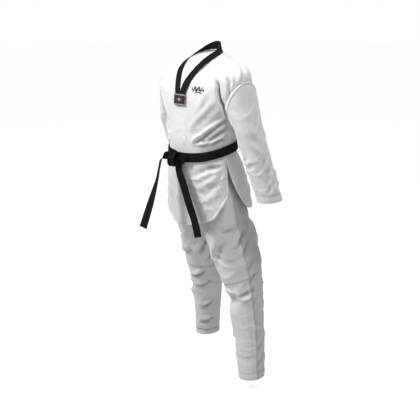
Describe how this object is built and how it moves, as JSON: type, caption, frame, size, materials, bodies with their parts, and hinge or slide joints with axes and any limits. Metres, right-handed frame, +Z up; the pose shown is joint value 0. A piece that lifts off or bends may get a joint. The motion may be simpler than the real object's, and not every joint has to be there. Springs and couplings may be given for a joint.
{
  "type": "martial arts uniform",
  "caption": "White V-neck pullover jacket with a black collar, tied black belt and loose white trousers, shaped as worn, with parts that swing and bend at the joints.",
  "frame": {"origin": "middle of the flat facet at the back of the collar, at the nape, where a hanger or a stand holds the jacket", "axes": "+Z up; the wearer faces -Y and the wearer's left is +X; +Y is the outward normal of the nape facet"},
  "size_m": [0.678, 0.5765, 1.4515],
  "materials": {
    "white_jacket_cloth": "matte ribbed weave",
    "white_trouser_cloth": "matte plain weave, slightly translucent",
    "black_twill": "matte twill",
    "black_belt_cotton": "matte, with rows of stitching along it",
    "white_satin": "soft sheen",
    "white_cord": "braided, matte"
  },
  "bodies": {
    "torso": {"jacket_front_panel": "white_jacket_cloth", "jacket_back_panel": "white_jacket_cloth", "left_side_gusset": "white_jacket_cloth", "right_side_gusset": "white_jacket_cloth", "collar_band_back": "black_twill", "collar_band_left": "black_twill", "collar_band_right": "black_twill", "collar_patch": "black_twill", "chest_emblem": "black_twill", "nape_label": "white_satin", "belt_inner_wrap": "black_belt_cotton", "belt_outer_wrap": "black_belt_cotton", "belt_knot_core": "black_belt_cotton", "belt_knot_loop": "black_belt_cotton", "trouser_seat_front": "white_trouser_cloth", "trouser_seat_back": "white_trouser_cloth", "trouser_waistband": "white_trouser_cloth", "trouser_drawcord": "white_cord", "crotch_gusset": "white_trouser_cloth"},
    "front_skirt": {"jacket_front_skirt": "white_jacket_cloth", "front_vent_facing_left": "white_jacket_cloth", "front_vent_facing_right": "white_jacket_cloth"},
    "back_skirt": {"jacket_back_skirt": "white_jacket_cloth", "back_vent_facing_left": "white_jacket_cloth", "back_vent_facing_right": "white_jacket_cloth"},
    "left_upper_sleeve": {"left_sleeve_upper": "white_jacket_cloth"},
    "left_lower_sleeve": {"left_sleeve_lower": "white_jacket_cloth", "left_cuff_hem": "white_jacket_cloth"},
    "left_tail": {"left_belt_tail": "black_belt_cotton"},
    "left_thigh": {"left_thigh_front": "white_trouser_cloth", "left_thigh_back": "white_trouser_cloth", "left_thigh_stripe": "white_trouser_cloth"},
    "left_shin": {"left_shin_front": "white_trouser_cloth", "left_shin_back": "white_trouser_cloth", "left_shin_stripe": "white_trouser_cloth", "left_leg_hem": "white_trouser_cloth"},
    "right_upper_sleeve": {"right_sleeve_upper": "white_jacket_cloth"},
    "right_lower_sleeve": {"right_sleeve_lower": "white_jacket_cloth", "right_cuff_hem": "white_jacket_cloth"},
    "right_tail": {"right_belt_tail": "black_belt_cotton"},
    "right_thigh": {"right_thigh_front": "white_trouser_cloth", "right_thigh_back": "white_trouser_cloth", "right_thigh_stripe": "white_trouser_cloth"},
    "right_shin": {"right_shin_front": "white_trouser_cloth", "right_shin_back": "white_trouser_cloth", "right_shin_stripe": "white_trouser_cloth", "right_leg_hem": "white_trouser_cloth"}
  },
  "joints": [
    {"name": "left_shoulder_swing", "type": "hinge", "parent": "torso", "child": "left_upper_sleeve", "pos_m": [0.2135, -0.06706, -0.21451], "axis": [-0.9336, 0, 0.3582], "range_deg": [-25, 70]},
    {"name": "left_elbow_bend", "type": "hinge", "parent": "left_upper_sleeve", "child": "left_lower_sleeve", "pos_m": [0.276, -0.08906, -0.46701], "axis": [-1, 0, 0], "range_deg": [0, 80]},
    {"name": "left_hip_kick", "type": "hinge", "parent": "torso", "child": "left_thigh", "pos_m": [0.088, -0.15306, -0.75201], "axis": [-1, 0, 0], "range_deg": [0, 40]},
    {"name": "left_knee_bend", "type": "hinge", "parent": "left_thigh", "child": "left_shin", "pos_m": [0.154, 0.10894, -1.01701], "axis": [1, 0, 0], "range_deg": [0, 60]},
    {"name": "right_shoulder_swing", "type": "hinge", "parent": "torso", "child": "right_upper_sleeve", "pos_m": [-0.2135, -0.06706, -0.21451], "axis": [-0.9336, 0, -0.3582], "range_deg": [-25, 70]},
    {"name": "right_elbow_bend", "type": "hinge", "parent": "right_upper_sleeve", "child": "right_lower_sleeve", "pos_m": [-0.256, -0.04706, -0.46701], "axis": [-1, 0, 0], "range_deg": [0, 80]},
    {"name": "right_hip_kick", "type": "hinge", "parent": "torso", "child": "right_thigh", "pos_m": [-0.088, -0.14906, -0.75201], "axis": [-1, 0, 0], "range_deg": [0, 40]},
    {"name": "right_knee_bend", "type": "hinge", "parent": "right_thigh", "child": "right_shin", "pos_m": [-0.157, 0.16694, -1.01701], "axis": [1, 0, 0], "range_deg": [0, 60]},
    {"name": "front_skirt_swing", "type": "hinge", "parent": "torso", "child": "front_skirt", "pos_m": [0, -0.21256, -0.46513], "axis": [-1, 0, 0], "range_deg": [0, 40]},
    {"name": "back_skirt_swing", "type": "hinge", "parent": "torso", "child": "back_skirt", "pos_m": [0, 0.01994, -0.40933], "axis": [1, 0, 0], "range_deg": [0, 40]},
    {"name": "left_tail_swing", "type": "hinge", "parent": "front_skirt", "child": "left_tail", "pos_m": [0.012, -0.23316, -0.48893], "axis": [-1, 0, 0], "range_deg": [0, 60]},
    {"name": "right_tail_swing", "type": "hinge", "parent": "front_skirt", "child": "right_tail", "pos_m": [-0.014, -0.23716, -0.48893], "axis": [-1, 0, 0], "range_deg": [0, 60]}
  ]
}
